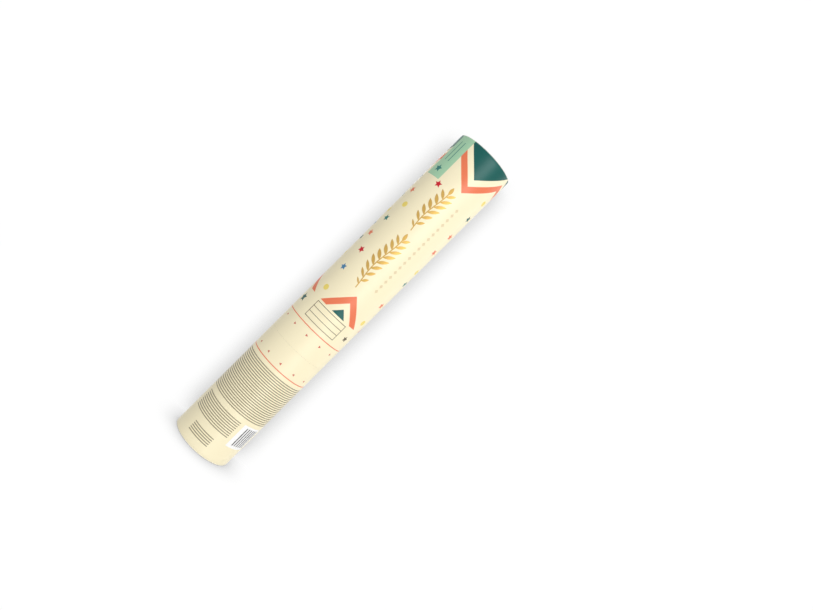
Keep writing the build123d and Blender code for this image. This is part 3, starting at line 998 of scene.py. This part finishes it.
def stage_finish(name, glow, albedo):
    """White to a camera in front of it, but for real shadows and, close to the tube, a painted shadow
    drawn from ambient occlusion. Other rays pass.
    """
    finish = bpy.data.materials.new(name)
    finish.use_nodes = True
    tree = finish.node_tree
    tree.nodes.remove(tree.nodes["Principled BSDF"])
    camera_ray = Wire(tree, tree.nodes.new("ShaderNodeLightPath").outputs["Is Camera Ray"])
    behind = camera_ray.node("ShaderNodeNewGeometry", {}, {}, "Backfacing")
    x, y, z = split(Wire(tree, tree.nodes.new("ShaderNodeTexCoord").outputs["Object"]))
    upright = clamped(z + y + abs(x) * wall_slope - wall_distance, 0.5 / fold_reach, 0.5)
    facing = z.node("ShaderNodeCombineXYZ", {}, {"Y": 0 - upright, "Z": 1 - upright})
    facing = z.node("ShaderNodeVectorMath", {"operation": "NORMALIZE"}, {0: facing})
    # Painted shadow: ambient occlusion darkens the glow close to the tube, less deeply on the backdrop than
    # on the floor.
    near = {"Distance": painted_shadow_reach, "Normal": facing}
    open_share = z.node("ShaderNodeAmbientOcclusion", {"samples": 8}, near, "AO")
    limit = floor_limit + upright * (wall_limit - floor_limit)
    shade = both((1 - open_share) ** painted_shadow_fade * painted_shadow_strength, limit)
    white = mixed((1 - shade) * glow, (0, 0, 0, 1), (1, 1, 1, 1))
    white = z.node("ShaderNodeEmission", {}, {"Color": white})
    shadowed = z.node("ShaderNodeBsdfDiffuse", {}, {"Color": (albedo, albedo, albedo, 1)})
    seen = z.node("ShaderNodeAddShader", {}, {0: white, 1: shadowed})
    unseen = z.node("ShaderNodeBsdfTransparent", {}, {})
    whole = z.node("ShaderNodeMixShader", {}, {0: camera_ray * (1 - behind), 1: unseen, 2: seen})
    tree.links.new(whole.socket, tree.nodes["Material Output"].inputs["Surface"])
    return finish


def stage_sheet(name, corners, faces, finish):
    """A flat or folded sheet of the stage, which casts no shadow."""
    mesh = bpy.data.meshes.new(name)
    mesh.from_pydata(corners, [], faces)
    mesh.materials.append(finish)
    sheet = bpy.data.objects.new(name, mesh)
    sheet.visible_shadow = False
    bpy.context.scene.collection.objects.link(sheet)


stage_white = stage_finish("stage_white", glow=0.985, albedo=0.03)
sides = [(-1, -1), (1, -1), (1, 1), (-1, 1)]
floor_corners = [(x * stage_reach, y * stage_reach, floor_level) for x, y in sides]
stage_sheet("floor", floor_corners, [(0, 1, 2, 3)], stage_white)
wall_corners = [
    (x, wall_distance - abs(x) * wall_slope, z)
    for z in (floor_level, stage_reach)
    for x in (-stage_reach, 0, stage_reach)
]
stage_sheet("backdrop", wall_corners, [(0, 1, 4, 3), (1, 2, 5, 4)], stage_white)

world = bpy.data.worlds.new("studio")
world.use_nodes = True
sky = world.node_tree
sky_light = sky.nodes["Background"]
sky_light.inputs["Color"].default_value = (1, 1, 1, 1)
sky_light.inputs["Strength"].default_value = 0.6
rays = sky.nodes.new("ShaderNodeLightPath").outputs
camera_ray, glossy_ray, through_ray = (
    Wire(sky, rays["Is " + kind + " Ray"]) for kind in ("Camera", "Glossy", "Transmission")
)
white_sky = camera_ray.node("ShaderNodeBackground", {}, {"Color": (1, 1, 1, 1), "Strength": 1.0})
sees_white = either(camera_ray, either(glossy_ray, through_ray))
skies = {0: sees_white, 1: Wire(sky, sky_light.outputs[0]), 2: white_sky}
whole_sky = camera_ray.node("ShaderNodeMixShader", {}, skies)
sky.links.new(whole_sky.socket, sky.nodes["World Output"].inputs["Surface"])
bpy.context.scene.world = world

aim = Vector((0, 0, 0.14))
for name, turn, rise, distance, width, tall, power, diffuse in (
    ("key_lamp", 22, 14, 1.1, 0.6, 0.6, 5.7, True),
    ("side_lamp", 116, 14, 1.3, 1.0, 1.0, 3.0, True),
    ("back_lamp", 184, 30, 1.3, 0.9, 0.9, 4.8, True),
    ("sheen_strip", 30, 5, 1.1, 0.5, 1.6, 9.0, False),
):
    lamp = bpy.data.lights.new(name, "AREA")
    lamp.shape, lamp.size, lamp.size_y, lamp.energy = "RECTANGLE", width, tall, power
    holder = bpy.data.objects.new(name, lamp)
    holder.visible_diffuse = diffuse
    turn, rise = math.radians(turn), math.radians(rise)
    away = Vector((math.sin(turn) * math.cos(rise), -math.cos(turn) * math.cos(rise), math.sin(rise)))
    holder.location = aim + away * distance
    holder.rotation_euler = (-away).to_track_quat("-Z", "Y").to_euler()
    bpy.context.scene.collection.objects.link(holder)


# Camera
# It stands in front of the tube, a little above the tube's middle, and is rolled, so that the tube lies
# across the picture at 45 degrees with the foot at the lower left.
focal, picture_width, sensor = 655.03, 813, 36.0
stand = (0, -0.46193, 0.17014)
yaw, pitch, roll = (math.radians(angle) for angle in (-4.156, -0.1215, -45.069))
right, ahead, up = Vector((1, 0, 0)), Vector((0, 1, 0)), Vector((0, 0, 1))
turn = Matrix.Rotation(yaw, 3, up)
right, ahead = turn @ right, turn @ ahead
turn = Matrix.Rotation(pitch, 3, right)
ahead, up = turn @ ahead, turn @ up
turn = Matrix.Rotation(roll, 3, ahead)
right, up = turn @ right, turn @ up
lens = bpy.data.cameras.new("camera")
lens.sensor_width, lens.lens = sensor, sensor * focal / picture_width
camera = bpy.data.objects.new("camera", lens)
axes = Matrix((right, up, -ahead)).transposed().to_4x4()
camera.matrix_world = Matrix.Translation(stand) @ axes
bpy.context.scene.collection.objects.link(camera)
bpy.context.scene.camera = camera
bpy.context.scene.view_settings.view_transform = "Standard"
